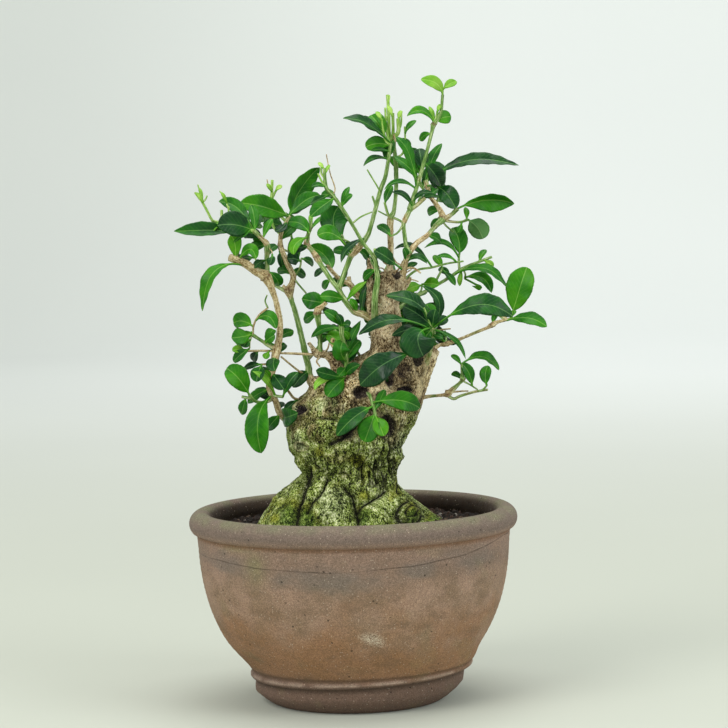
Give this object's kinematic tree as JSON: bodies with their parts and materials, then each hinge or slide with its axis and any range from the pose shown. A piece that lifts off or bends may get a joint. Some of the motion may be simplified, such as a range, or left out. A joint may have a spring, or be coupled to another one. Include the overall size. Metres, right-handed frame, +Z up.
{
  "type": "spindle tree bonsai",
  "caption": "Old stump bonsai with furrowed mossy bark, cut-back branches and glossy oval leaves, in a round unglazed pot with a rolled rim.",
  "frame": {"origin": "on the surface the pot stands on, under the middle of the whole plant's box", "axes": "+Z up along the tree, +X to the right of the front view, +Y towards the back"},
  "size_m": [0.2005, 0.18, 0.3406],
  "materials": {
    "stoneware": "unglazed, matt, pinkish brown with grey clouds",
    "soil": "damp dark grains with a few pale ones",
    "screen_plastic": "moulded, matt black",
    "tie_wire": "dull drawn wire",
    "old_bark": "rough and furrowed, green with moss below, beige brown above",
    "branch_bark": "smooth brown bark with corky lines",
    "green_stem": "smooth green, slightly glossy",
    "leaf": "leathery and glossy, with a paler midrib",
    "young_leaf": "soft, bright yellow green"
  },
  "bodies": {
    "root": {"pot": "stoneware", "soil": "soil", "drain_screen": "screen_plastic", "screen_wire": "tie_wire", "trunk": "old_bark", "branch_left_low": "branch_bark", "branch_left": "green_stem", "branch_top_left": "branch_bark", "branch_right_lateral": "green_stem", "branch_right_mid": "branch_bark", "branch_right_low": "green_stem", "stem_left_cut": "green_stem", "stem_left_long": "green_stem", "stem_left_riser": "green_stem", "stem_left_top": "green_stem", "stem_front_left": "green_stem", "stem_front_right": "green_stem", "stem_diagonal": "green_stem", "stem_center": "branch_bark", "stem_right": "green_stem", "stem_right_fork": "branch_bark", "stem_right_tall": "green_stem", "twig_left_low": "green_stem", "twig_left_mid": "green_stem", "twig_right_top": "green_stem", "twig_right_mid": "green_stem", "twig_trunk_front": "green_stem", "leaf_left_far": "leaf", "leaf_left_back": "leaf", "leaf_left_broad": "leaf", "leaf_left_tall": "leaf", "leaf_left_hanging": "leaf", "leaf_low_left_round": "leaf", "leaf_low_left_folded": "leaf", "leaf_mid_left": "leaf", "leaf_center_dark": "leaf", "leaf_center_level": "leaf", "leaf_center_left": "leaf", "leaf_cut_stem": "leaf", "leaf_top_young": "young_leaf", "leaf_top_long": "leaf", "leaf_right_upright": "leaf", "leaf_right_wide": "leaf", "leaf_right_long": "leaf", "leaf_right_drooping": "leaf", "leaf_right_twisted": "leaf", "leaf_right_under": "leaf", "leaf_crown_front": "leaf", "leaf_big_right": "leaf", "leaf_end_upright": "leaf", "leaf_end_level": "leaf", "leaf_lateral_arched": "leaf", "leaf_front_hanging": "leaf", "leaf_front_left": "leaf", "leaf_front_upper": "leaf", "leaf_low_right_arched": "leaf", "leaf_trunk_broad": "leaf", "leaf_trunk_left": "leaf", "leaf_trunk_low": "leaf", "leaf_trunk_right": "leaf"}
  },
  "joints": []
}
